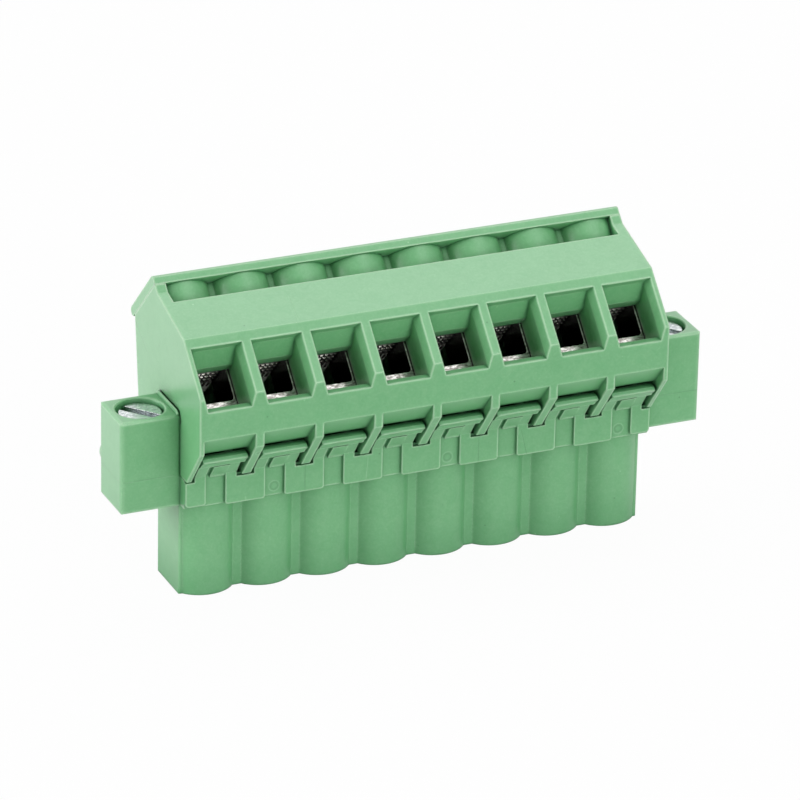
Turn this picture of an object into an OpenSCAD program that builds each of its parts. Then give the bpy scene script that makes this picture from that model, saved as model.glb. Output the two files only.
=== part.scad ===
/* [Poles] */
// Number of poles
poles = 8; // [2:1:12]
// Distance from one pole to the next
pitch = 5.08; // [4.9:0.02:6.1]
// Thickness of the partition between two poles
partition_t = 0.75; // [0.6:0.05:0.9]

/* [Plug] */
// Height of the plug from its mating face to the shoulder
plug_h = 8.15; // [6.8:0.05:10]
// Radius of the half-round lobes on the plug's front
lobe_r = 2.9; // [2.75:0.05:3]
// Distance from the pin row back to the plug's flat rear face
plug_back = 2.8; // [2.6:0.05:3.4]
// Width of the flat valley between two lobes
valley_w = 0.75; // [0.5:0.05:1]
// How far the plug's ends stand back from the housing's ends
plug_inset = 0.08; // [0.05:0.01:0.4]
// Side of the square hole that a header pin enters
pin_hole = 1.7; // [1.4:0.05:2]
// Height of the shoulder deck on top of the plug
deck_h = 2.5; // [2.1:0.05:3]

/* [Housing] */
// Distance from the pin row forward to the vertical front face
front_d = 6.6; // [6.4:0.05:7]
// Height of the knee between the front face and the wire face above the plug's deck
knee_h = 8.35; // [8:0.05:10.3]
// Length of the sloped wire face
wire_face = 5.23; // [4.9:0.05:6]
// Depth of the top shelf behind the wire face
shelf_d = 5.66; // [5.4:0.05:6.4]
// Slope of the top shelf
shelf_a = 16; // [14:1:18]
// Length of the steep strip between the shelf and the screw plate
strip_l = 0.82; // [0.6:0.02:1]
// Length of the rear slope that carries the screw plate
rear_slope = 6.13; // [6:0.05:7]
// Draft of the back wall
back_draft = 6.3; // [4:0.1:8]
// Thickness of the screw plate
plate_t = 0.81; // [0.7:0.01:1.2]

/* [Clamp] */
// Distance of the screw axis behind the wire face
screw_set = 5.55; // [5.4:0.05:5.8]
// Width of the clamp cage
cage_w = 4; // [3.8:0.05:4.1]
// Depth of the clamp cage along the wire
cage_d = 4; // [3.6:0.05:4.1]
// Thickness of the clamp cage's side walls
cage_wall = 0.4; // [0.3:0.02:0.5]
// Height that a wire can have in the open clamp
mouth = 2.95; // [2.6:0.05:3]
// Distance that the clamp cage rises to close
travel = 2.7; // [2.2:0.05:2.75]
// Radius of the terminal screw's thread
screw_r = 1.45; // [1.2:0.01:1.5]
// Radius of the terminal screw's head
head_r = 1.8; // [1.7:0.01:1.85]

/* [Flange] */
// Length of each screw flange
flange_l = 5.02; // [4.6:0.02:6]
// Depth of each screw flange
flange_d = 4.67; // [4.4:0.05:6]
// Height of each screw flange
flange_h = 7.85; // [7:0.05:9]
// Radius of the flange screw's head
flange_head_r = 1.85; // [1.7:0.01:2]
// Radius of the flange screw's thread
flange_screw_r = 1.2; // [1:0.01:1.4]

/* [Hidden] */
$fn = 48;
SQ = sqrt(2);
WIRE_A = 45;

// Running clearances
gap = 0.1;
fit = 0.05;

// Along the row of poles
row_l = poles * pitch;
half_l = row_l / 2;
cell_w = pitch - partition_t;
pole_x = [for (i = [0 : poles - 1]) (i - (poles - 1) / 2) * pitch];
rib_x = [for (i = [0 : poles]) i * pitch - half_l];

// Points of the side view are [y, z]. On the 45 degree slope a point is given by w, its
// distance along the wire's way in, and s, its distance along the screw towards the head.
function on_slope(w, s) = [(w + s) / SQ, (s - w) / SQ];
function slope_w(p) = (p[0] - p[1]) / SQ;
function slope_s(p) = (p[0] + p[1]) / SQ;

deck_z = plug_h + deck_h;
seat_z = deck_z + fit;
knee_z = deck_z + knee_h;
knee = [-front_d, knee_z];
brow = knee + wire_face / SQ * [1, 1];
shelf = brow + shelf_d * [1, tan(shelf_a)];
crest = shelf + strip_l / SQ * [1, 1];
heel = crest + rear_slope / SQ * [1, -1];
foot = [heel[0] - (heel[1] - seat_z) * tan(back_draft), seat_z];
deck_back = heel[0] - (heel[1] - deck_z) * tan(back_draft);
deck_low = heel[0] - (heel[1] - plug_h) * tan(back_draft);

// Fingers at the lower front of the housing and the edge above the latch bay
elbow_z = knee_z - 4.75;
finger_tip = [-front_d + 2.8, seat_z];
bay_top_z = knee_z - 3.57;
lip_edge = [-front_d + 1.6, bay_top_z - 1.83];

// Wire entry
face_w = slope_w(knee);
entry_s = slope_s(knee) + 4.37;
flare_d = 0.8;
flare_in = 0.335;
entry_wall_d = 1.6;
throat_s = entry_s - 0.91;
sill_z = knee_z - 1.12;
sill_d = 0.72;
sill_s = slope_s([-front_d + sill_d, sill_z]);

// Clamp, measured on the slope
screw_w = face_w + screw_set;
cage_front = screw_w - cage_d / 2;
cage_back = screw_w + cage_d / 2;
chamber_front = cage_front - gap;
chamber_back = cage_back + 0.4;
tongue_t = 0.8;
tongue_s = throat_s + 0.37;
tongue_front = cage_front + 0.25;
cage_floor_t = 0.5;
cage_roof_t = 1.25;
cage_floor_s = tongue_s - mouth;
cage_low_s = cage_floor_s - cage_floor_t;
cage_roof_s = tongue_s + tongue_t + gap;
cage_top_s = cage_roof_s + cage_roof_t;
chamber_floor_s = min(cage_low_s - 0.45, sill_s);
chamber_roof_s = cage_top_s + travel + 0.15;
bay_roof_s = chamber_floor_s - 0.7;

// Screw chimneys
plate_s = slope_s(crest);
head_h = 1.4;
head_top_s = plate_s - 0.07;
head_low_s = head_top_s - head_h;
chimney_r = 2.6;
trough_floor_s = chamber_roof_s + 0.45;
trough_front_y = brow[0] + 4.03;
trough_end = 0.92;
web_w = screw_w - chimney_r + 1.4;

// Contact well behind and below the clamp
well_front_y = -1.2;
well_back_y = deck_back - 1.05;
well_wall = 0.8;

// Contact
stem_y = 2.6;
stem_t = 0.5;
leaf_t = 0.4;
leaf_y = 1.25;
jog_z = plug_h + 0.45;
pinch_y = 0.6;

// Plug
valley_y = -sqrt(pow(lobe_r, 2) - pow((pitch - valley_w) / 2, 2));
socket_w = 2.9;
socket_front = 1.75;
socket_floor = 1;
pocket_z = plug_h - 0.15;
band_y = -lobe_r - 0.68;
panel_in = 0.3;
tab_half = 1.7;
tab_corner_r = 0.22;
notch_half = 0.75;
tab_top_z = deck_z + 0.25;
plug_corner_r = 0.15;
end_tab_z = plug_h + 0.2;
corner_r = 0.3;
edge_r = 0.2;

// Latch bar
bar_half = pitch / 2 - 0.63;
bar_top_z = lip_edge[1] - 0.25;

// Flanges
flange_x = half_l + 0.04;
flange_mid = (flange_x + half_l + flange_l) / 2;
flange_top = plug_h + flange_h;
flange_bore = flange_head_r + 0.12;
flange_head_h = 1.9;
flange_head_top = flange_top - 0.35;
flange_seat = flange_head_top - flange_head_h - fit;
left_turn = -50;
right_turn = -50;

POLYMER = "#8fc797";
NICKEL = "#c9c6bd";
COPPER_ALLOY = "#c8b98a";
ZINC = "#c9d2d6";

pole_names = [for (i = [1 : poles]) str(i)];

// An arc of points, and a rectangle with round corners about the origin
function arc(c, r, from, to, steps = 5) =
    [for (i = [0 : steps]) let (a = from + (to - from) * i / steps) c + r * [cos(a), sin(a)]];
function round_rect(w, h, r) = concat(
    arc([w / 2 - r, h / 2 - r], r, 0, 90),
    arc([r - w / 2, h / 2 - r], r, 90, 180),
    arc([r - w / 2, r - h / 2], r, 180, 270),
    arc([w / 2 - r, r - h / 2], r, 270, 360)
);

// Both sides of a bent strip of thickness t along the points p, mitred at each bend
function unit(v) = v / norm(v);
function left_of(v) = [-v[1], v[0]];
function bend(p, i) = let (
    a = unit(p[min(i + 1, len(p) - 1)] - p[min(i, len(p) - 2)]),
    b = unit(p[max(i, 1)] - p[max(i - 1, 0)]),
    n = unit(left_of(a) + left_of(b))
) n / (n * left_of(a));
function strip(p, t) = concat(
    [for (i = [0 : len(p) - 1]) p[i] + t / 2 * bend(p, i)],
    [for (i = [len(p) - 1 : -1 : 0]) p[i] - t / 2 * bend(p, i)]
);

// A side view [y, z] carried along the row from x0 to x1
module across(x0, x1) {
    translate([x0, 0, 0])
        rotate([90, 0, 90])
            linear_extrude(x1 - x0)
                children();
}

// The frame of the slope: Y runs in along the wire, Z along the screw towards its head
module slope() {
    rotate([-WIRE_A, 0, 0])
        children();
}

module at_poles() {
    for (x = pole_x)
        translate([x, 0, 0])
            children();
}

// Side view of an end wall, down to the finger that stands on the plug's shoulder
module housing_outline() {
    polygon([
        finger_tip,
        [-front_d, elbow_z],
        knee,
        brow,
        shelf,
        crest,
        heel,
        foot
    ]);
}

// Flared entry for one wire, from the wire face to the clamp
module wire_entry() {
    end_w = chamber_front + gap;
    wall_w = face_w + flare_d + entry_wall_d;
    intersection() {
        across(-pitch, pitch)
            polygon([
                on_slope(face_w - 2, entry_s),
                on_slope(face_w + flare_d, entry_s),
                on_slope(wall_w, throat_s),
                on_slope(end_w, throat_s),
                on_slope(end_w, sill_s),
                [-front_d + sill_d, sill_z],
                [-front_d - 2, sill_z]
            ]);
        slope()
            linear_extrude(2 * knee_z)
                polygon([
                    [-cell_w / 2, face_w - 3],
                    [cell_w / 2, face_w - 3],
                    [cell_w / 2, face_w],
                    [cell_w / 2 - flare_in, face_w + flare_d],
                    [cell_w / 2 - flare_in, wall_w],
                    [cell_w / 2 - flare_in - 0.06, end_w],
                    [flare_in + 0.06 - cell_w / 2, end_w],
                    [flare_in - cell_w / 2, wall_w],
                    [flare_in - cell_w / 2, face_w + flare_d],
                    [-cell_w / 2, face_w]
                ]);
    }
}

// Room for one clamp cage and, behind and below it, for the contact's stem
module clamp_chamber() {
    slope()
        translate([-cell_w / 2, chamber_front, chamber_floor_s])
            cube([cell_w, chamber_back - chamber_front, chamber_roof_s - chamber_floor_s]);
    across(-cell_w / 2, cell_w / 2)
        polygon([
            [well_front_y, deck_z - 1],
            [well_back_y, deck_z - 1],
            [well_back_y, on_slope(chamber_back, chamber_roof_s)[1] - 0.5],
            on_slope(chamber_back - 1, tongue_s + 4),
            on_slope(chamber_back - 1, chamber_floor_s),
            [well_front_y, SQ * chamber_floor_s - well_front_y]
        ]);
}

// Open bay between two fingers, under the slanted lip of the front wall
module latch_bay() {
    inner_y = well_front_y - well_wall;
    across(-cell_w / 2, cell_w / 2)
        polygon([
            [-front_d - 1, deck_z - 1],
            [inner_y, deck_z - 1],
            [inner_y, SQ * bay_roof_s - inner_y],
            [inner_y - 1.3, SQ * bay_roof_s - inner_y + 1.3],
            lip_edge + [0.6, 0.5],
            lip_edge,
            [-front_d, bay_top_z],
            [-front_d - 1, bay_top_z]
        ]);
}

// Stepped bore of one terminal screw, for its head and for its thread
module screw_bore() {
    slope()
        translate([0, screw_w, 0]) {
            translate([0, 0, head_low_s - fit])
                cylinder(r = head_r + gap, h = head_h + 2);
            translate([0, 0, chamber_roof_s - 1])
                cylinder(r = screw_r + 0.07, h = head_low_s - chamber_roof_s + 2);
        }
}

// Trough behind the shelf, cut down to the round chimneys and the webs between them
module trough() {
    difference() {
        across(trough_end - half_l, half_l - trough_end)
            polygon([
                [trough_front_y, SQ * trough_floor_s - trough_front_y],
                on_slope(web_w, trough_floor_s),
                on_slope(web_w, plate_s + 1),
                on_slope(slope_w(crest) - 2, plate_s + 1),
                [trough_front_y, crest[1] + 1]
            ]);
        at_poles()
            slope()
                translate([0, screw_w, trough_floor_s - 1])
                    cylinder(r = chimney_r, h = plate_s - trough_floor_s + 3);
    }
}

module upper_housing() {
    color(POLYMER)
        difference() {
            across(-half_l, half_l)
                housing_outline();
            at_poles() {
                wire_entry();
                clamp_chamber();
                latch_bay();
                screw_bore();
            }
            trough();
        }
}

// Rear plate over the screw chimneys, which keeps the screws in
module screw_plate() {
    top_w = slope_w(crest);
    low_w = slope_w(heel) + 0.72;
    round_r = 0.4;
    color(POLYMER)
        difference() {
            across(-half_l, half_l)
                polygon(concat(
                    [
                        crest,
                        on_slope(top_w, plate_s + plate_t - 0.2),
                        on_slope(top_w + 0.2, plate_s + plate_t)
                    ],
                    [for (p = arc([low_w - round_r, plate_s + plate_t - round_r], round_r, 90, 0))
                        on_slope(p[0], p[1])],
                    [on_slope(low_w, plate_s + 0.25), on_slope(low_w - 0.25, plate_s)]
                ));
            at_poles()
                slope()
                    translate([0, screw_w, plate_s - 1]) {
                        cylinder(r = head_r - 0.2, h = plate_t + 2);
                        translate([0, 0, 1 + plate_t - 0.2])
                            cylinder(r1 = head_r - 0.2, r2 = head_r + 0.2, h = 0.4);
                    }
        }
}

// Plan of the plug: a flat-backed bar with a half-round lobe for each pole
module plug_plan() {
    end = half_l - plug_inset;
    translate([0, (plug_back + valley_y) / 2])
        polygon(round_rect(2 * end, plug_back - valley_y, plug_corner_r));
    intersection() {
        for (x = pole_x)
            translate([x, 0])
                circle(r = lobe_r);
        translate([plug_corner_r - end, -lobe_r - 1])
            square([2 * (end - plug_corner_r), lobe_r + 1]);
    }
}

// Socket for one header pin, with its lead-in, up to the pocket in the deck
module pin_socket() {
    lead = 0.35;
    translate([-socket_w / 2, -socket_front, socket_floor])
        cube([socket_w, 2 * socket_front, pocket_z]);
    translate([-pin_hole / 2, -pin_hole / 2, -1])
        cube([pin_hole, pin_hole, socket_floor + 2]);
    intersection() {
        across(-pitch / 2, pitch / 2)
            polygon([
                [-pin_hole / 2 - lead - 1, -1],
                [pin_hole / 2 + lead + 1, -1],
                [pin_hole / 2, lead],
                [-pin_hole / 2, lead]
            ]);
        rotate([0, 0, 90])
            across(-pitch / 2, pitch / 2)
                polygon([
                    [-pin_hole / 2 - lead - 1, -1],
                    [pin_hole / 2 + lead + 1, -1],
                    [pin_hole / 2, lead],
                    [-pin_hole / 2, lead]
                ]);
    }
    translate([-cell_w / 2 + 0.1, well_front_y, pocket_z])
        cube([cell_w - 0.2, well_back_y - well_front_y, deck_h + 1]);
}

// Outward-leaning latch of one pole: two arms, a recess with a raised pad and the nose bar
module latch() {
    arm_half = pitch / 2 - notch_half;
    panel_half = pitch / 2 - tab_half;
    recess_y = band_y + panel_in;
    nose = [-front_d + 0.88, bar_top_z - 0.3];
    web_top = nose + [1.12, -0.75];
    recess_top = web_top + 0.3 * [(band_y - web_top[0]) / (web_top[1] - tab_top_z), -1];
    bar = [
        web_top + [-0.4, 0.05],
        web_top + [-0.65, 0.35],
        nose,
        [nose[0] + 0.25, bar_top_z - 0.05],
        [nose[0] + 0.57, bar_top_z],
        [nose[0] + 0.98, bar_top_z]
    ];
    difference() {
        across(-arm_half, arm_half)
            polygon(concat(
                [[band_y, deck_z - 0.2], [band_y, tab_top_z], web_top],
                bar,
                [[band_y + 0.68, tab_top_z], [band_y + 0.68, deck_z - 0.2]]
            ));
        across(-panel_half, panel_half)
            polygon([
                [band_y - 0.5, deck_z - 0.3],
                [recess_y, deck_z - 0.3],
                [recess_y, tab_top_z],
                recess_top + [panel_in, 0],
                recess_top + [-0.5, 0],
                [band_y - 0.5, tab_top_z]
            ]);
    }
    across(0.37 - panel_half, panel_half + 0.05)
        polygon([
            [recess_y + 0.12, deck_z + 0.06],
            [band_y + 0.05, deck_z + 0.06],
            [band_y + 0.05, tab_top_z - 0.05],
            recess_top + [-0.1, 0.03],
            recess_top + [panel_in, 0.03]
        ]);
    for (side = [-1, 1])
        translate([side * (arm_half + bar_half - 0.2) / 2, 0, 0])
            across(-(bar_half - arm_half + 0.2) / 2, (bar_half - arm_half + 0.2) / 2)
                polygon(concat([web_top + [0.2, 0.08]], bar));
}

// Screw flange at the right end, with its stepped bore; its outer edges are rounded
module flange() {
    low_z = plug_h - 0.12;
    outer_x = half_l + flange_l;
    mid_x = (flange_x + outer_x) / 2;
    mid_z = (low_z + flange_top) / 2;
    difference() {
        union() {
            intersection() {
                translate([0, 0, low_z - 1])
                    linear_extrude(flange_h + 2)
                        polygon(concat(
                            [[flange_x, -flange_d / 2]],
                            arc([outer_x - corner_r, corner_r - flange_d / 2], corner_r, -90, 0),
                            arc([outer_x - corner_r, flange_d / 2 - corner_r], corner_r, 0, 90),
                            [[flange_x, flange_d / 2]]
                        ));
                translate([mid_x, flange_d, mid_z])
                    rotate([90, 0, 0])
                        linear_extrude(2 * flange_d)
                            polygon(round_rect(outer_x - flange_x + 0.02, flange_top - low_z, edge_r));
                across(half_l - 1, outer_x + 1)
                    translate([0, mid_z])
                        polygon(round_rect(flange_d + 0.02, flange_top - low_z, edge_r));
            }
            translate([half_l - 1, -flange_d / 2 + 0.01, plug_h])
                cube([flange_l, flange_d - 0.02, deck_h]);
            translate([outer_x - 1.2, flange_d / 2 - 0.2, flange_top - 4.5])
                rotate([-90, 0, 0])
                    cylinder(r = 1.15, h = 0.44);
        }
        translate([flange_mid, 0, flange_seat])
            cylinder(r = flange_bore, h = flange_h);
        translate([flange_mid, 0, flange_top - 0.08])
            cylinder(r1 = flange_bore, r2 = flange_bore + 0.16, h = 0.16);
        translate([flange_mid, 0, plug_h - 1])
            cylinder(r = flange_screw_r + 0.07, h = flange_h);
    }
}

// A plate drawn as seen from the front, in the plane of the tabs
module tab_plate() {
    translate([0, band_y + 1, 0])
        rotate([90, 0, 0])
            linear_extrude(1)
                children();
}

// Tabs on the front of the shoulder, one below each finger; the end ones are half as wide
module shoulder_tabs() {
    notch_z = deck_z - 0.16;
    for (i = [1 : poles - 1])
        translate([rib_x[i], 0, 0])
            tab_plate()
                polygon(concat(
                    arc([tab_corner_r - tab_half, plug_h + tab_corner_r], tab_corner_r, 180, 270),
                    arc([tab_half - tab_corner_r, plug_h + tab_corner_r], tab_corner_r, 270, 360),
                    [[tab_half, deck_z], [notch_half, deck_z], [notch_half, notch_z]],
                    [[-notch_half, notch_z], [-notch_half, deck_z], [-tab_half, deck_z]]
                ));
    for (side = [-1, 1])
        translate([side * half_l, 0, 0])
            tab_plate()
                polygon([
                    for (p = concat(
                        arc([tab_corner_r - tab_half, end_tab_z + tab_corner_r], tab_corner_r, 180, 270),
                        arc([-corner_r, end_tab_z + corner_r], corner_r, 270, 360),
                        [[0, notch_z], [-notch_half, notch_z], [-notch_half, deck_z]],
                        [[-tab_half, deck_z]]
                    )) [side * p[0], p[1]]
                ]);
}

module plug_housing() {
    color(POLYMER)
        union() {
            difference() {
                union() {
                    linear_extrude(plug_h + 0.5)
                        plug_plan();
                    across(-half_l, half_l)
                        polygon([
                            [band_y + panel_in, plug_h],
                            [deck_low, plug_h],
                            [deck_back, deck_z],
                            [band_y + panel_in, deck_z]
                        ]);
                    shoulder_tabs();
                }
                at_poles()
                    pin_socket();
            }
            at_poles()
                latch();
            flange();
            mirror([1, 0, 0])
                flange();
        }
}

// Lift cage of one pole: a rectangular eye with a threaded roof, its mouth stepped in outside
module clamp_cage() {
    inner_h = cage_roof_s - cage_floor_s;
    tall = cage_top_s - cage_low_s;
    step_t = 0.6 * cage_wall;
    color(NICKEL)
        slope()
            difference() {
                translate([0, cage_back, (cage_top_s + cage_low_s) / 2])
                    rotate([90, 0, 0])
                        linear_extrude(cage_d)
                            polygon(round_rect(cage_w, tall, 0.25));
                translate([0, cage_back + 1, cage_floor_s + inner_h / 2])
                    rotate([90, 0, 0])
                        linear_extrude(cage_d + 2)
                            polygon(round_rect(cage_w - 2 * cage_wall, inner_h, 0.3));
                translate([0, screw_w, cage_roof_s - 0.5])
                    cylinder(r = screw_r + fit, h = cage_roof_t + 1);
                for (side = [-1, 1])
                    translate([side * (cage_w / 2 - step_t + 0.5) - 0.5, cage_front - 1, cage_floor_s])
                        cube([1, 2, tall]);
            }
}

// Slotted terminal screw, held between the chimney's shoulder and the plate
module terminal_screw() {
    tip_s = cage_roof_s;
    slot_w = 0.55;
    slot_d = 0.7;
    color(ZINC)
        slope()
            translate([0, screw_w, 0])
                difference() {
                    union() {
                        translate([0, 0, tip_s])
                            cylinder(r = screw_r, h = head_low_s - tip_s + 0.2);
                        translate([0, 0, head_low_s])
                            cylinder(r = head_r, h = head_h - 0.2);
                        translate([0, 0, head_top_s - 0.2])
                            cylinder(r1 = head_r, r2 = head_r - 0.2, h = 0.2);
                    }
                    translate([-head_r - 1, -slot_w / 2, head_top_s - slot_d])
                        cube([2 * head_r + 2, slot_w, slot_d + 1]);
                }
}

// Side view of the contact's toothed tongue, which the wire is pressed against
module tongue_outline(rear_w) {
    teeth = 5;
    step = (cage_back - tongue_front) / (teeth + 1);
    tooth_h = 0.16;
    polygon(concat(
        [on_slope(rear_w, tongue_s + tongue_t), on_slope(tongue_front, tongue_s + tongue_t)],
        [for (i = [0 : teeth - 1]) for (k = [0, 1])
            on_slope(tongue_front + (i + 0.75 * k) * step, tongue_s + tooth_h * k)],
        [on_slope(tongue_front + teeth * step, tongue_s), on_slope(rear_w, tongue_s)]
    ));
}

// One contact: a toothed tongue in the cage, a stem and a sprung fork for the pin
module contact() {
    tongue_w = cage_w - 2 * cage_wall - 0.3;
    mid_s = tongue_s + tongue_t / 2;
    rear = [stem_y, SQ * mid_s - stem_y];
    fork = [[leaf_y, jog_z - 0.6], [pinch_y, 3.6], [leaf_y - 0.1, 1.45]];
    color(COPPER_ALLOY) {
        difference() {
            across(-tongue_w / 2, tongue_w / 2)
                tongue_outline(slope_w(rear) + 0.2);
            for (i = [-3 : 3])
                translate([i * tongue_w / 7, 0, 0])
                    slope()
                        translate([0, tongue_front - 1, tongue_s])
                            rotate([0, 45, 0])
                                translate([-0.1, 0, -0.1])
                                    cube([0.2, cage_d + 1, 0.2]);
        }
        across(-1.2, 1.2)
            polygon(strip([rear + [0, 0.2], [stem_y, jog_z + 1], [leaf_y, jog_z], [-leaf_y, jog_z]], stem_t));
        across(-1.1, 1.1)
            polygon(strip(concat([[leaf_y, jog_z]], fork), leaf_t));
        across(-1.1, 1.1)
            polygon(strip([for (p = concat([[leaf_y, jog_z]], fork)) [-p[0], p[1]]], leaf_t));
    }
}

// Captive screw of the flange at x, its slot turned by turn
module flange_screw(x, turn) {
    slot_w = 0.75;
    slot_d = 0.6;
    color(ZINC)
        translate([x, 0, 0])
            difference() {
                union() {
                    translate([0, 0, plug_h + 0.4])
                        cylinder(r = flange_screw_r, h = flange_seat - plug_h);
                    translate([0, 0, flange_seat + fit])
                        cylinder(r = flange_head_r, h = flange_head_h - 0.15);
                    translate([0, 0, flange_head_top - 0.15])
                        cylinder(r1 = flange_head_r, r2 = flange_head_r - 0.15, h = 0.15);
                }
                rotate([0, 0, turn])
                    translate([-flange_head_r - 1, -slot_w / 2, flange_head_top - slot_d])
                        cube([2 * flange_head_r + 2, slot_w, slot_d + 1]);
            }
}

upper_housing();
plug_housing();
screw_plate();
for (i = [0 : poles - 1]) {
    translate([pole_x[i], 0, 0]) clamp_cage();
    translate([pole_x[i], 0, 0]) terminal_screw();
    translate([pole_x[i], 0, 0]) contact();
}
flange_screw(-flange_mid, left_turn);  // flange_screw_left
flange_screw(flange_mid, right_turn);  // flange_screw_right
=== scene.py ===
import math

import bpy
import numpy as np
from mathutils import Matrix, Vector


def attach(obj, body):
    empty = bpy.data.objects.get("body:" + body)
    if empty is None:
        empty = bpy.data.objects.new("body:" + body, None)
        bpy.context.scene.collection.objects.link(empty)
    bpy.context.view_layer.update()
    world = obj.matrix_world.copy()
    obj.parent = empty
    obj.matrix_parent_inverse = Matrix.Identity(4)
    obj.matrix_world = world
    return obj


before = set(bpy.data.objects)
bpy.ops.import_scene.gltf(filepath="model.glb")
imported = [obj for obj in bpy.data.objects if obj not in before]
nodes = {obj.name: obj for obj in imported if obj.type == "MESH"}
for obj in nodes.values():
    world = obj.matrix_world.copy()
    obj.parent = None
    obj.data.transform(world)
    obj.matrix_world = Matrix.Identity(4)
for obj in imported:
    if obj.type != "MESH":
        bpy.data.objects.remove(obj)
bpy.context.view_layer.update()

# Camera
# A long lens looks down on the front and the left end from in front, a little to the left.
# It stands half a metre off, so the rows of entries and lobes stay almost parallel.
camera_place = (-0.178753, -0.405241, 0.215820)
camera_axes = Matrix((
    (0.918617, -0.394678, 0.019306),
    (0.148282, 0.389592, 0.908972),
    (-0.366273, -0.832134, 0.416409),
)).transposed()
camera_data = bpy.data.cameras.new("camera")
camera_data.lens = 271.69
camera_data.sensor_width = 36.0
camera_data.clip_start = 0.02
camera_data.clip_end = 10.0
camera = bpy.data.objects.new("camera", camera_data)
bpy.context.collection.objects.link(camera)
camera.matrix_world = Matrix.Translation(camera_place) @ camera_axes.to_4x4()
bpy.context.scene.camera = camera
bpy.context.scene.view_settings.view_transform = "Standard"

# Studio
# A white sweep of board: a flat floor that curves up into a wall behind the block.
# Seen straight or in the metal it is plain white, and it keeps the soft shadow at the plug's foot.
board_colour = (0.80, 0.80, 0.80, 1)
plain_white = (1, 1, 1, 1)
white_share = 0.965  # the rest is the matt board, which carries the shadow
dim_front = 0.15  # what metal and gloss see of the board in front of the block
fade_half = 0.03


def socket_set(node, **values):
    """Writes constants to a node's input sockets, named with spaces as underscores."""
    for name, value in values.items():
        node.inputs[name.replace("_", " ")].default_value = value


def feed(tree, target, value):
    """Links value to the input target when it is a socket, and writes it there when it is not."""
    if isinstance(value, bpy.types.NodeSocket):
        tree.links.new(value, target)
    else:
        target.default_value = value


def maths(tree, operation, *values, clamp=False):
    """Result of a Math node over values, which are numbers or sockets."""
    node = tree.nodes.new("ShaderNodeMath")
    node.operation = operation
    node.use_clamp = clamp
    for target, value in zip(node.inputs, values):
        feed(tree, target, value)
    return node.outputs[0]


def ramp(tree, value, start, end, low, high):
    """Map Range node: carries value from start .. end to low .. high and holds it outside."""
    node = tree.nodes.new("ShaderNodeMapRange")
    for name, source in (
        ("Value", value), ("From Min", start), ("From Max", end), ("To Min", low), ("To Max", high),
    ):
        feed(tree, node.inputs[name], source)
    return node.outputs["Result"]


def grid_mesh(name, points):
    """A mesh over a grid of points [rows, columns, 3]: quad (i, j) joins points i, i+1 of the
    rows to points j, j+1 of the columns."""
    rows, columns = points.shape[:2]
    i, j = np.meshgrid(np.arange(rows - 1), np.arange(columns - 1), indexing="ij")
    first = i * columns + j
    quads = np.stack([first, first + 1, first + columns + 1, first + columns], -1)
    mesh = bpy.data.meshes.new(name)
    mesh.from_pydata(points.reshape(-1, 3).tolist(), [], quads.reshape(-1, 4).tolist())
    mesh.polygons.foreach_set("use_smooth", np.ones(len(mesh.polygons), bool))
    mesh.update()
    return mesh


def sweep_points(front, back, bend, high, half):
    """Floor from y = front to back - bend, a quarter circle of radius bend, then a wall up to
    z = high, carried from x = -half to half."""
    a = np.linspace(0, np.pi / 2, 25)
    y = np.concatenate([[front], back - bend + bend * np.sin(a), [back]])
    z = np.concatenate([[0.0], bend - bend * np.cos(a), [high]])
    x = np.array([-half, half])
    return np.stack(np.broadcast_arrays(x[None, :], y[:, None], z[:, None]), -1)


def studio_board():
    """White board: matt white that shows as almost plain white to the eye. Reflections show it
    white behind the block and fading to a dim grey in front of it."""
    material = bpy.data.materials.new("studio_board")
    material.use_nodes = True
    tree = material.node_tree
    tree.nodes.clear()
    out = tree.nodes.new("ShaderNodeOutputMaterial")
    path = tree.nodes.new("ShaderNodeLightPath")
    board = tree.nodes.new("ShaderNodeBsdfDiffuse")
    socket_set(board, Color=board_colour)
    white = tree.nodes.new("ShaderNodeEmission")
    socket_set(white, Color=plain_white)
    split = tree.nodes.new("ShaderNodeSeparateXYZ")
    tree.links.new(tree.nodes.new("ShaderNodeTexCoord").outputs["Object"], split.inputs[0])
    reflected = ramp(tree, split.outputs["Y"], -fade_half, fade_half, dim_front, 1)
    glow = maths(tree, "MAXIMUM", reflected, path.outputs["Is Camera Ray"])
    seen = maths(tree, "MAXIMUM", path.outputs["Is Camera Ray"], path.outputs["Is Glossy Ray"])
    mix = tree.nodes.new("ShaderNodeMixShader")
    tree.links.new(glow, white.inputs["Strength"])
    tree.links.new(maths(tree, "MULTIPLY", seen, white_share), mix.inputs[0])
    tree.links.new(board.outputs[0], mix.inputs[1])
    tree.links.new(white.outputs[0], mix.inputs[2])
    tree.links.new(mix.outputs[0], out.inputs["Surface"])
    return material


sweep = bpy.data.objects.new("studio_sweep", grid_mesh(
    "studio_sweep", sweep_points(front=-0.9, back=0.8, bend=0.3, high=0.9, half=1.1)))
sweep.data.materials.append(studio_board())
bpy.context.collection.objects.link(sweep)


def softbox(name, place, aim, size, power):
    """A square area lamp of white light at place, turned so that its face looks at aim."""
    data = bpy.data.lights.new(name, "AREA")
    data.shape = "SQUARE"
    data.size = size
    data.energy = power
    lamp = bpy.data.objects.new(name, data)
    lamp.location = place
    lamp.rotation_euler = (Vector(aim) - Vector(place)).to_track_quat("-Z", "Y").to_euler()
    bpy.context.collection.objects.link(lamp)


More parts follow.
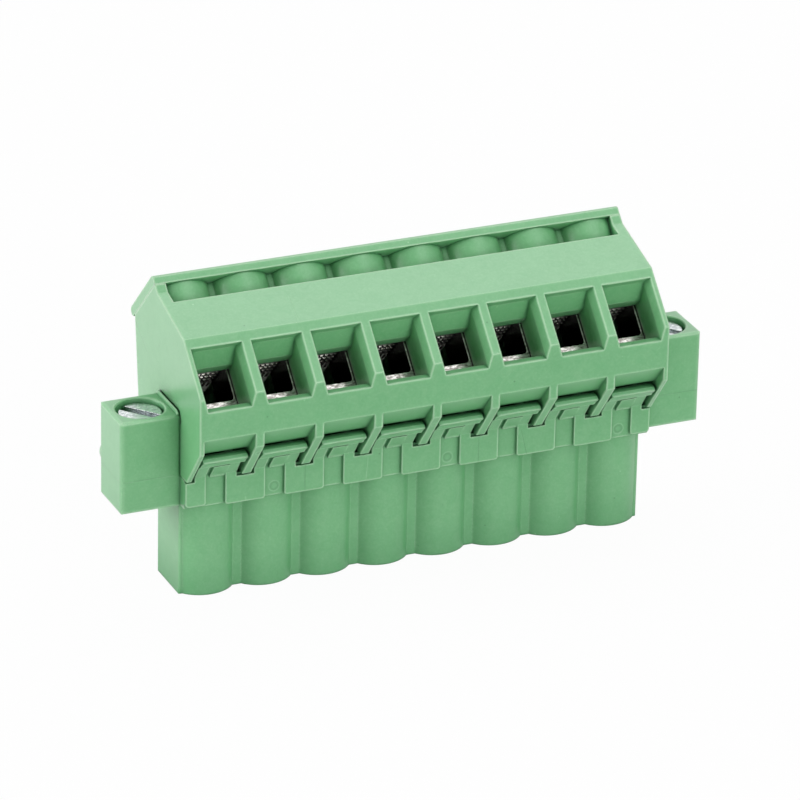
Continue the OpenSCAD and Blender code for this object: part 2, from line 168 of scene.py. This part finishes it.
softbox("lamp_above", (0.17, 0.22, 0.52), (0, 0, 0.010), size=0.50, power=1.12)
softbox("lamp_left", (-0.58, 0.10, 0.22), (0, 0, 0.012), size=0.40, power=2.35)
softbox("lamp_face", (0.26, -0.29, 0.58), (0, 0, 0.016), size=0.40, power=0.36)
softbox("lamp_front", (0.24, -0.56, 0.29), (0, 0, 0.016), size=0.30, power=0.74)
softbox("lamp_low", (0.06, -0.62, 0.05), (0, 0, 0.016), size=0.15, power=1.10)

world = bpy.data.worlds.new("studio_room")
bpy.context.scene.world = world
world.use_nodes = True
socket_set(world.node_tree.nodes["Background"], Color=plain_white, Strength=0.43)


# Green mouldings
# Upper housing, plug housing and screw plate are injection moulded in one pale green polyamide.
# The resin is satin and slightly milky, and every moulded edge is broken by a small round, which
# is larger on the two flanges that stand past the row. A lighter green is painted along outward edges
# as highlight, and a darker green into creases, hollows and holes as shade.
deep_green = (0.138, 0.422, 0.176, 1)
pale_green = (0.168, 0.476, 0.212, 1)
milk_and_highlight = (0.50, 0.79, 0.51, 1)
shade = (0.015, 0.150, 0.050, 1)
hole_shade = (0.008, 0.055, 0.022, 1)
chamber_shade = (0.004, 0.012, 0.006, 1)
row_half = 0.02036  # the flanges stand past this, left and right
flange_radius = 0.00042
flange_top = 0.0158  # higher up, a hollow gets light from above
along_wire = (0, math.sqrt(0.5), -math.sqrt(0.5))
along_screw = (0, math.sqrt(0.5), math.sqrt(0.5))
upright = (0, 0, 1)


def vector_maths(tree, operation, *values):
    """Result of a Vector Math node over values, which are vectors or sockets."""
    node = tree.nodes.new("ShaderNodeVectorMath")
    node.operation = operation
    for target, value in zip(node.inputs, values):
        feed(tree, target, value)
    return node.outputs["Value" if operation in ("DOT_PRODUCT", "LENGTH", "DISTANCE") else "Vector"]


def new_group(name, inputs, outputs):
    """Empty shader node group with the named sockets, each of the type given, and its end nodes."""
    group = bpy.data.node_groups.new(name, "ShaderNodeTree")
    for in_out, sockets in (("INPUT", inputs), ("OUTPUT", outputs)):
        for socket, kind in sockets.items():
            group.interface.new_socket(socket, in_out=in_out, socket_type=f"NodeSocket{kind}")
    return group, group.nodes.new("NodeGroupInput"), group.nodes.new("NodeGroupOutput")


def rounded_edges():
    """Node group. Normal is the shading normal with edges rounded to Radius. Edge grows from 0
    on flat faces to 1 where that normal leaves the true one: edge = 9 (1 - n_round . n_true)."""
    group, entry, leave = new_group(
        "rounded_edges", {"Radius": "Float"}, {"Normal": "Vector", "Edge": "Float"})
    bevel = group.nodes.new("ShaderNodeBevel")
    bevel.samples = 6
    truth = group.nodes.new("ShaderNodeNewGeometry")
    likeness = vector_maths(group, "DOT_PRODUCT", bevel.outputs[0], truth.outputs["Normal"])
    edge = maths(group, "MULTIPLY", maths(group, "SUBTRACT", 1, likeness), 9, clamp=True)
    group.links.new(entry.outputs["Radius"], bevel.inputs["Radius"])
    group.links.new(bevel.outputs[0], leave.inputs["Normal"])
    group.links.new(edge, leave.inputs["Edge"])
    return group


def crevices():
    """Node group from the share of the room that a point sees within a reach of 0.6 or 4 mm.
    Crease is 1 in a narrow gap or at the foot of a step, Hollow grows softly between the lobes,
    Depth is 1 some millimetres inside a hole, and Inward is 1 at any inside corner. All are 0 on
    open faces and fall evenly as the share grows."""
    group, _, leave = new_group(
        "crevices", {}, {name: "Float" for name in ("Crease", "Inward", "Hollow", "Depth")})
    for reach, masks in (
        (0.0006, (("Crease", 0.35, 0.85), ("Inward", 0.85, 0.99))),
        (0.0040, (("Hollow", 0.45, 1.00), ("Depth", 0.05, 0.20))),
    ):
        sight = group.nodes.new("ShaderNodeAmbientOcclusion")
        sight.samples = 6
        socket_set(sight, Distance=reach)
        for name, shut, clear in masks:
            group.links.new(ramp(group, sight.outputs["AO"], shut, clear, 1, 0), leave.inputs[name])
    return group


def resin_grain():
    """Node group. Cloud is the slow drift of the resin's colour over some millimetres, Mottle its
    milky blush in streaks, Dark and Light the odd tiny fleck and nick, Grain the fine eroded
    texture of the mould, all 0 to 1."""
    group, _, leave = new_group(
        "resin_grain", {}, {name: "Float" for name in ("Cloud", "Mottle", "Dark", "Light", "Grain")})
    place = group.nodes.new("ShaderNodeTexCoord").outputs["Object"]
    cloud = group.nodes.new("ShaderNodeTexNoise")
    socket_set(cloud, Scale=260, Detail=4, Roughness=0.6)
    mottle = group.nodes.new("ShaderNodeTexNoise")
    socket_set(mottle, Scale=900, Detail=5, Roughness=0.7, Distortion=1.2)
    grain = group.nodes.new("ShaderNodeTexNoise")
    socket_set(grain, Scale=5200, Detail=2, Roughness=0.6)
    for name, texture in (("Cloud", cloud), ("Mottle", mottle), ("Grain", grain)):
        group.links.new(place, texture.inputs["Vector"])
        group.links.new(texture.outputs["Fac"], leave.inputs[name])
    for name, scale, size in (("Dark", 450, 0.045), ("Light", 520, 0.040)):
        speck = group.nodes.new("ShaderNodeTexVoronoi")
        socket_set(speck, Scale=scale, Randomness=1)
        group.links.new(place, speck.inputs["Vector"])
        small = ramp(group, speck.outputs["Distance"], 0.4 * size, size, 1, 0)
        group.links.new(small, leave.inputs[name])
    return group


def near_segment():
    """Node group. Mask is 1 along the straight line from First to Last and fades to 0 at Width
    from it: with t = clamp((p - a) . (b - a) / |b - a|^2), mask = 1 - |p - a - t (b - a)| / Width."""
    group, entry, leave = new_group(
        "near_segment", {"First": "Vector", "Last": "Vector", "Width": "Float"}, {"Mask": "Float"})
    place = group.nodes.new("ShaderNodeTexCoord").outputs["Object"]
    away = vector_maths(group, "SUBTRACT", place, entry.outputs["First"])
    span = vector_maths(group, "SUBTRACT", entry.outputs["Last"], entry.outputs["First"])
    share = maths(
        group, "DIVIDE", vector_maths(group, "DOT_PRODUCT", away, span),
        vector_maths(group, "DOT_PRODUCT", span, span), clamp=True)
    gap = vector_maths(group, "DISTANCE", away, vector_maths(group, "MULTIPLY", span, share))
    group.links.new(ramp(group, gap, 0, entry.outputs["Width"], 1, 0), leave.inputs["Mask"])
    return group


def near_ring():
    """Node group. Mask is 1 on the circle of Radius about Centre that faces Y, and fades to 0 at
    Width from it: mask = 1 - ||(p - c) * (1, 0.3, 1)| - Radius| / Width."""
    group, entry, leave = new_group(
        "near_ring", {"Centre": "Vector", "Radius": "Float", "Width": "Float"}, {"Mask": "Float"})
    place = group.nodes.new("ShaderNodeTexCoord").outputs["Object"]
    away = vector_maths(group, "SUBTRACT", place, entry.outputs["Centre"])
    reach = vector_maths(group, "LENGTH", vector_maths(group, "MULTIPLY", away, (1, 0.3, 1)))
    off = maths(group, "ABSOLUTE", maths(group, "SUBTRACT", reach, entry.outputs["Radius"]))
    group.links.new(ramp(group, off, 0, entry.outputs["Width"], 1, 0), leave.inputs["Mask"])
    return group


edge_group = rounded_edges()
crevice_group = crevices()
resin_group = resin_grain()
segment_group = near_segment()
ring_group = near_ring()


def placed(tree, group):
    """A node that holds group."""
    node = tree.nodes.new("ShaderNodeGroup")
    node.node_tree = group
    return node


def blend_colour(tree, factor, first, second):
    """Mix node from first to second by factor, which is a socket; colours are values or sockets."""
    mix = tree.nodes.new("ShaderNodeMix")
    mix.data_type = "RGBA"
    tree.links.new(factor, mix.inputs["Factor"])
    for name, value in (("A", first), ("B", second)):
        feed(tree, next(s for s in mix.inputs if s.name == name and s.type == "RGBA"), value)
    return next(s for s in mix.outputs if s.type == "RGBA")


def graded(tree, value, low, high):
    """Carries a 0 to 1 socket to low .. high."""
    return ramp(tree, value, 0, 1, low, high)


def stepped(tree, value, place, before, after):
    """Jumps from before to after as value, in metres, passes place, within 0.1 mm."""
    return ramp(tree, value, place, place + 0.0001, before, after)


def along(tree, axis):
    """Place along axis in the part's own frame, in metres."""
    return vector_maths(tree, "DOT_PRODUCT", tree.nodes.new("ShaderNodeTexCoord").outputs["Object"], axis)


def near_level(tree, axis, level, half):
    """1 at level millimetres along axis, in the part's own frame, falling to 0 at half away."""
    off = maths(tree, "ABSOLUTE", maths(tree, "SUBTRACT", along(tree, axis), level / 1000))
    return ramp(tree, off, 0, half / 1000, 1, 0)


def largest(tree, sockets):
    """Chain of Maximum nodes over sockets."""
    best = sockets[0]
    for socket in sockets[1:]:
        best = maths(tree, "MAXIMUM", best, socket)
    return best


def mark_mask(tree, lines, rings):
    """Largest of the masks of lines, each (first, last, width), and rings, each (centre, radius,
    width), in millimetres."""
    masks = []
    for group, marks in ((segment_group, lines), (ring_group, rings)):
        for values in marks:
            node = placed(tree, group)
            for socket, value in zip(node.inputs, values):
                socket.default_value = (
                    tuple(v / 1000 for v in value) if isinstance(value, tuple) else value / 1000)
            masks.append(node.outputs["Mask"])
    return largest(tree, masks) if masks else 0.0


def bumped(tree, height, strength, distance, normal):
    """Normal of a Bump node that raises the surface of that normal by height."""
    bump = tree.nodes.new("ShaderNodeBump")
    socket_set(bump, Strength=strength, Distance=distance)
    feed(tree, bump.inputs["Height"], height)
    tree.links.new(normal, bump.inputs["Normal"])
    return bump.outputs["Normal"]


def green_resin(name, edge_radius, hollow, raised=((), ()), sunk=((), ()), chamber=None):
    """Satin polyamide. Colour runs from deep to pale with the resin's cloud, goes pale in light nicks
    and dark in the odd fleck. Outward edges get a painted highlight of pale green; creases and, by
    hollow, hollows get a painted shade of dark green, and holes a deeper painted shade.
    Raised and sunk hold the lines and rings that the mould leaves; a fine grain breaks the gloss.
    Chamber is the clamps' front, and their level and half height up the slope, where little light
    gets in; behind that front the walls get a near black painted shade."""
    material = bpy.data.materials.new(name)
    material.use_nodes = True
    tree = material.node_tree
    surface = tree.nodes["Principled BSDF"]
    grain = placed(tree, resin_group)
    edge = placed(tree, edge_group)
    crevice = placed(tree, crevice_group)
    from_middle = maths(tree, "ABSOLUTE", along(tree, (1, 0, 0)))
    tree.links.new(stepped(tree, from_middle, row_half, edge_radius, flange_radius), edge.inputs["Radius"])
    proud, low = mark_mask(tree, *raised), mark_mask(tree, *sunk)

    drift = blend_colour(tree, grain.outputs["Cloud"], deep_green, pale_green)
    blush = blend_colour(tree, graded(tree, grain.outputs["Mottle"], -0.10, 0.18), drift, milk_and_highlight)
    body = blend_colour(tree, graded(tree, grain.outputs["Grain"], -0.14, 0.16), blush, milk_and_highlight)
    # Painted highlight: pale green along outward edges, where light would catch the rounds. Light nicks and
    # raised marks are pale in their own colour.
    outward = graded(tree, crevice.outputs["Inward"], 1.0, 0.0)
    milky = largest(tree, [
        maths(tree, "MULTIPLY", edge.outputs["Edge"], outward),
        graded(tree, grain.outputs["Light"], 0.0, 0.5),
        graded(tree, proud, 0.0, 0.22),
    ])
    lit_edges_and_nicks = blend_colour(tree, milky, body, milk_and_highlight)
    # Painted shade: dark green in creases and, by hollow, in the hollows between lobes. Dark flecks and
    # sunk marks are the resin's own colour.
    hollow_share = stepped(tree, along(tree, upright), flange_top, hollow, 0.3 * hollow)
    dark = largest(tree, [
        graded(tree, grain.outputs["Dark"], 0.0, 0.55),
        graded(tree, low, 0.0, 0.3),
        graded(tree, crevice.outputs["Crease"], 0.0, 0.6),
        maths(tree, "MULTIPLY", crevice.outputs["Hollow"], hollow_share),
    ])
    shaded = blend_colour(tree, dark, lit_edges_and_nicks, shade)
    # Painted shade: deeper green some millimetres down any hole.
    colour = blend_colour(tree, crevice.outputs["Depth"], shaded, hole_shade)
    # Painted shade: near black on the chamber walls behind the clamps' front.
    if chamber:
        front, *slot = chamber
        behind = stepped(tree, along(tree, along_wire), front / 1000, 0.0, 1.0)
        shut_in = stepped(tree, crevice.outputs["Hollow"], 0.85, 0.0, 1.0)
        in_slot = stepped(tree, near_level(tree, along_screw, *slot), 0.02, 0.0, 1.0)
        inside = maths(tree, "MULTIPLY", maths(tree, "MULTIPLY", behind, shut_in), in_slot)
        colour = blend_colour(tree, inside, colour, chamber_shade)
    tree.links.new(colour, surface.inputs["Base Color"])

    tree.links.new(graded(tree, grain.outputs["Grain"], 0.30, 0.46), surface.inputs["Roughness"])
    tree.links.new(graded(tree, crevice.outputs["Hollow"], 1.0, 0.2), surface.inputs["Coat Weight"])
    relief = maths(tree, "SUBTRACT", proud, low)
    marked = bumped(tree, relief, 0.6, 0.00003, edge.outputs["Normal"])
    eroded = bumped(tree, grain.outputs["Grain"], 0.14, 0.00002, marked)
    tree.links.new(eroded, surface.inputs["Normal"])
    socket_set(surface, IOR=1.53, Subsurface_Weight=0.08, Subsurface_Scale=0.0005)
    socket_set(surface, Subsurface_Radius=(0.5, 1.0, 0.6), Coat_Roughness=0.3, Coat_IOR=1.5)
    return material


# Upper housing
# One green moulding: wire entries, clamp chambers and screw chimneys for all eight poles.
# It carries round pin marks on two fingers and a faint fold on each end wall.
shelf_line = ((-10.17, 0.25, 23.60), (-10.50, -2.65, 22.77), 0.05)
left_pin, middle_pin = (-15.13, -5.90, 13.37), (0.0, -5.88, 13.34)
wall_folds = [((x, 7.67, 20.13), (x, 4.99, 18.45), 0.07) for x in (-20.32, 20.32)]
upper_raised = ([shelf_line], [(left_pin, 0.22, 0.09), (middle_pin, 0.20, 0.09)])
upper_sunk = (wall_folds, [(left_pin, 0.06, 0.09)])
# Behind this front, at this level and half height, the chamber walls get a near black painted shade.
clamp_chamber = (-14.66, 12.0, 3.0)
nodes["upper_housing"].material_slots[0].material = green_resin(
    "green_upper", edge_radius=0.00032, hollow=0.0, raised=upper_raised, sunk=upper_sunk,
    chamber=clamp_chamber)

# Plug housing
# One green moulding with the lobes, the latches, the shoulder and both screw flanges.
# Ejector pins left rings on three of its panels, inserts left fine lines on some tabs, and the
# halves of the mould meet in a faint line round each flange.
tab_y = -3.58
panel_y = -3.28
ejector_pins = [(x, panel_y, 8.92) for x in (-12.66, 2.44, 17.64)]
parting_z = 10.8
parting_run = ((20.4, -2.335, 25.2, -2.335), (25.34, -2.2, 25.34, 2.2), (20.4, 2.335, 25.2, 2.335))
parting_lines = [
    ((side * x0, y0, parting_z), (side * x1, y1, parting_z), 0.05)
    for side in (-1, 1) for x0, y0, x1, y1 in parting_run
]
raised_inserts = [
    ((-15.2, tab_y, 8.15), (-15.2, tab_y, 8.5), 0.09),
    ((-4.65, tab_y, 10.2), (-4.8, tab_y, 8.2), 0.07),
]
sunk_inserts = [
    ((-10.1, tab_y, 8.2), (-10.1, tab_y, 10.4), 0.06),
    ((5.05, tab_y, 8.2), (5.05, tab_y, 10.5), 0.06),
    ((8.79, tab_y, 10.4), (9.34, tab_y, 8.2), 0.05),
]
plug_raised = (raised_inserts, [(pin, 0.46, 0.08) for pin in ejector_pins])
plug_sunk = (sunk_inserts + parting_lines, [(pin, 0.30, 0.14) for pin in ejector_pins])
nodes["plug_housing"].material_slots[0].material = green_resin(
    "green_plug", edge_radius=0.00025, hollow=0.30, raised=plug_raised, sunk=plug_sunk)

# Flange lips
# A thin bead of the same moulding stands along the inner top edge of each flange.
# Its front end is rounded down over the flange's corner.
lip_x = 20.48
lip_z = 15.98
lip_half = 2.3
lip_width = 0.22
lip_height = 0.36
lip_round = 0.4


def bead_points(x, z, half, width, height, end):
    """Half-round bead along Y from -half to half: at each y the section is x + width/2 cos a,
    z + h sin a for a from -20 to 200 degrees, and h falls to 0 over end at each end as a quarter
    circle."""
    a = np.radians(np.linspace(-20, 200, 13))
    turn = end * (1 - np.cos(np.linspace(0, np.pi / 2, 7)))
    y = np.concatenate([-half + turn, half - turn[::-1]])
    inward = np.clip(np.minimum(y + half, half - y) / end, 0, 1)
    rise = height * np.sqrt(np.clip(1 - (1 - inward) ** 2, 0, 1))
    xs = np.broadcast_to(x + width / 2 * np.cos(a)[None, :], (len(y), len(a)))
    ys = np.broadcast_to(y[:, None], xs.shape)
    return np.stack([xs, ys, z + rise[:, None] * np.sin(a)[None, :]], -1) / 1000


for name, side in (("left", -1), ("right", 1)):
    lip = bpy.data.objects.new(f"flange_lip_{name}", grid_mesh(
        f"flange_lip_{name}", bead_points(side * lip_x, lip_z, lip_half, lip_width, lip_height, lip_round)))
    lip.data.materials.append(nodes["plug_housing"].material_slots[0].material)
    bpy.context.collection.objects.link(lip)
    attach(lip, "housing")

# Screw plate
# A separate strip of the same green resin, pressed on over the chimneys to keep the screws in.
# It shows as a bright narrow step along the top of the block.
nodes["screw_plate"].material_slots[0].material = green_resin(
    "green_plate", edge_radius=0.00025, hollow=0.0)


# Clamp cages
# Each is a flat steel strip bent to a rectangular eye, nickel plated, with faint drawing lines.
# Its front edge is sheared, so it catches the light along the foot of the entry, where a band is
# kept free of the near black painted shade that fills the rest of the eye.
# Near black painted shade for the metals in creases and down holes.
metal_shade = (0.012, 0.012, 0.012, 1)


def plated_metal(name, bright, dull, roughness, line_scale, edge_radius, shade_depth, ridge, ridge_h):
    """Plated metal. Colour drifts from bright to dull in fine lines, roughness with them. It gets a
    near black painted shade, by shade_depth, in creases and down holes, except on rounded edges and
    at the ridge, an axis with a level and a half width along it, where the surface also bulges by
    ridge_h millimetres. Edges and ridge keep the plated colour."""
    material = bpy.data.materials.new(name)
    material.use_nodes = True
    tree = material.node_tree
    surface = tree.nodes["Principled BSDF"]
    edge = placed(tree, edge_group)
    socket_set(edge, Radius=edge_radius)
    crevice = placed(tree, crevice_group)
    place = tree.nodes.new("ShaderNodeTexCoord").outputs["Object"]
    stretch = tree.nodes.new("ShaderNodeMapping")
    socket_set(stretch, Scale=line_scale)
    tree.links.new(place, stretch.inputs["Vector"])
    lines = tree.nodes.new("ShaderNodeTexNoise")
    socket_set(lines, Scale=5500, Detail=3, Roughness=0.6)
    tree.links.new(stretch.outputs["Vector"], lines.inputs["Vector"])

    drift = blend_colour(tree, ramp(tree, lines.outputs["Fac"], 0.40, 0.60, 0, 1), bright, dull)
    # Painted shade: near black in creases and down holes, lifted off edges and the ridge.
    hidden = largest(tree, [crevice.outputs["Crease"], crevice.outputs["Hollow"]])
    dim = blend_colour(tree, graded(tree, hidden, 0.0, shade_depth), drift, metal_shade)
    crest = near_level(tree, *ridge)
    kept = largest(tree, [graded(tree, edge.outputs["Edge"], 0.0, 0.8), crest])
    tree.links.new(blend_colour(tree, kept, dim, drift), surface.inputs["Base Color"])

    rough = graded(tree, lines.outputs["Fac"], roughness - 0.1, roughness + 0.12)
    tree.links.new(rough, surface.inputs["Roughness"])
    swell = bumped(tree, crest, 1, ridge_h / 1000, edge.outputs["Normal"])
    drawn = bumped(tree, lines.outputs["Fac"], 0.6, 0.000015, swell)
    tree.links.new(drawn, surface.inputs["Normal"])
    socket_set(surface, Metallic=1.0)
    return material


nickel = plated_metal(
    "nickel_plate", bright=(0.96, 0.94, 0.90, 1), dull=(0.36, 0.34, 0.31, 1), roughness=0.22,
    line_scale=(0.4, 1, 1), edge_radius=0.00010, shade_depth=1.0, ridge=(along_wire, -14.55, 0.10), ridge_h=0)
for i in range(1, 9):
    nodes[f"clamp_cage_{i}"].material_slots[0].material = nickel

# Terminal screws
# Turned steel, zinc plated, each with a slot cut across its head and threaded into its cage.
# Only the heads show, sunk below the holes of the screw plate.
zinc = plated_metal(
    "zinc_plate", bright=(0.93, 0.95, 0.96, 1), dull=(0.50, 0.54, 0.56, 1), roughness=0.24,
    line_scale=(0.4, 1, 1), edge_radius=0.00008, shade_depth=0.10, ridge=(upright, 15.5, 0.2), ridge_h=0)
for i in range(1, 9):
    nodes[f"terminal_screw_{i}"].material_slots[0].material = zinc

# Contacts
# Stamped copper alloy, tin plated, each pressed into the housings from its stem.
# The wire is clamped against its toothed tongue, which gets a near black painted shade except on
# its edges and along a band at the crests, which keep the bright plated colour and bulge to catch glints.
tin = plated_metal(
    "tin_plate", bright=(0.96, 0.94, 0.88, 1), dull=(0.50, 0.48, 0.42, 1), roughness=0.22,
    line_scale=(1, 0.4, 1), edge_radius=0.00003, shade_depth=1.0, ridge=(along_screw, 12.60, 0.12), ridge_h=0.055)
for i in range(1, 9):
    nodes[f"contact_{i}"].material_slots[0].material = tin

# Flange screws
# Slotted cheese heads, zinc plated like the terminal screws.
# They stand in the flanges' bores, a little under the top, and hold the plug to its header.
for name in ("flange_screw_left", "flange_screw_right"):
    nodes[name].material_slots[0].material = zinc
